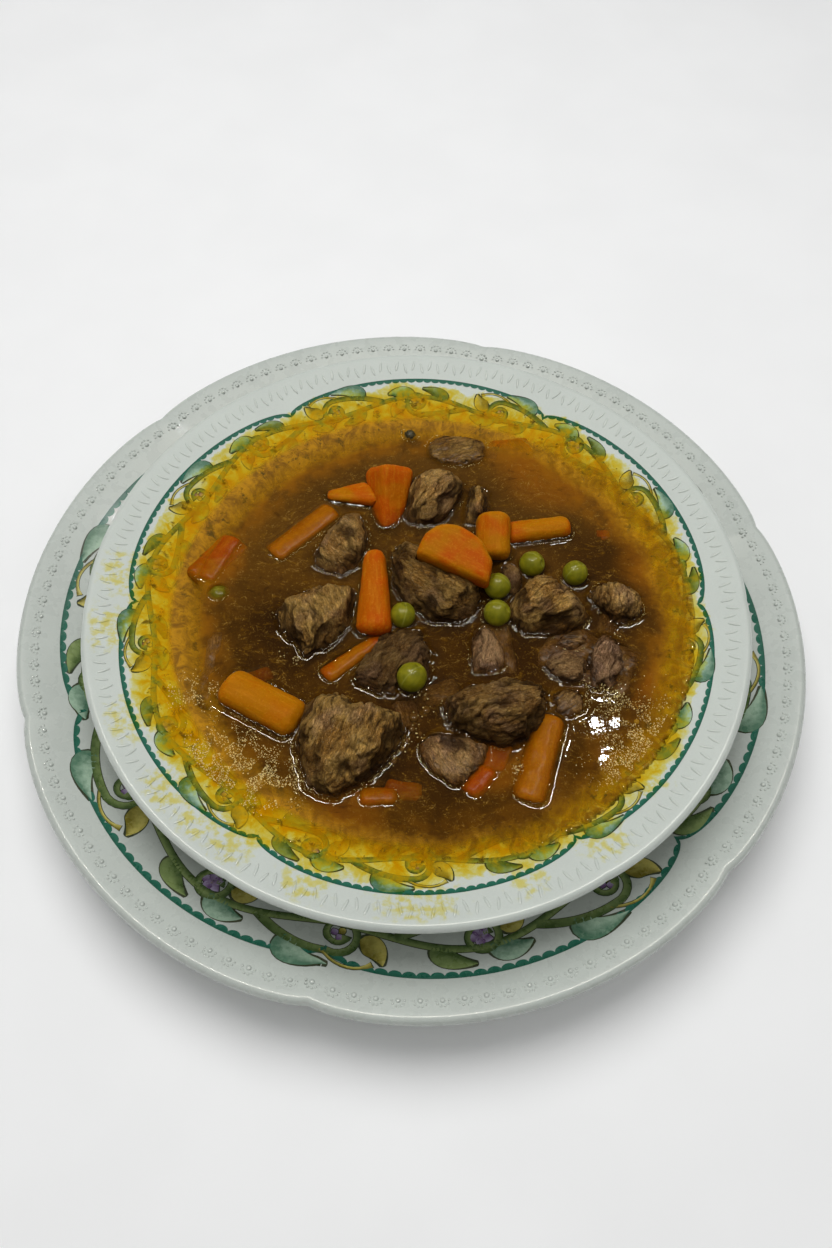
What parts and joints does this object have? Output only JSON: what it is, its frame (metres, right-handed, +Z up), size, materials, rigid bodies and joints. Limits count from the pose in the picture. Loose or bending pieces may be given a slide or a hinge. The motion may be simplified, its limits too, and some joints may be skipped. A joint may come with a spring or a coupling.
{
  "type": "bowl of beef stew",
  "caption": "Beef stew with carrots and peas in brown gravy, in a lobed soup plate on its matching underplate, both with a decorated border.",
  "frame": {"origin": "on the table, under the middle of the underplate's foot ring", "axes": "+Z up, -Y towards the diner, +X to the diner's right"},
  "size_m": [0.2694, 0.2692, 0.0537],
  "materials": {
    "china": "gloss",
    "rim_green": "gloss",
    "leaf_green": "gloss",
    "leaf_blue": "gloss",
    "leaf_olive": "gloss",
    "petal": "gloss",
    "outline": "gloss",
    "gravy": "gloss",
    "oil": "gloss",
    "beef": "satin",
    "carrot": "gloss",
    "pea": "gloss",
    "pepper": "satin",
    "froth": "gloss"
  },
  "bodies": {
    "root": {"underplate": "china", "soup_plate": "china", "gravy": "gravy", "carrot_01": "carrot", "carrot_02": "carrot", "carrot_03": "carrot", "carrot_04": "carrot", "carrot_05": "carrot", "carrot_06": "carrot", "carrot_07": "carrot", "carrot_08": "carrot", "carrot_09": "carrot", "carrot_10": "carrot", "carrot_11": "carrot", "carrot_12": "carrot", "carrot_13": "carrot", "pea_01": "pea", "pea_02": "pea", "pea_03": "pea", "pea_04": "pea", "pea_05": "pea", "pea_06": "pea", "pea_07": "pea", "peppercorn": "pepper", "beef_01": "beef", "beef_02": "beef", "beef_03": "beef", "beef_04": "beef", "beef_05": "beef", "beef_06": "beef", "beef_07": "beef", "beef_08": "beef", "beef_09": "beef", "beef_10": "beef", "beef_11": "beef", "beef_12": "beef", "beef_13": "beef", "beef_14": "beef", "beef_15": "beef", "beef_16": "beef", "beef_17": "beef", "beef_18": "beef"}
  },
  "joints": []
}
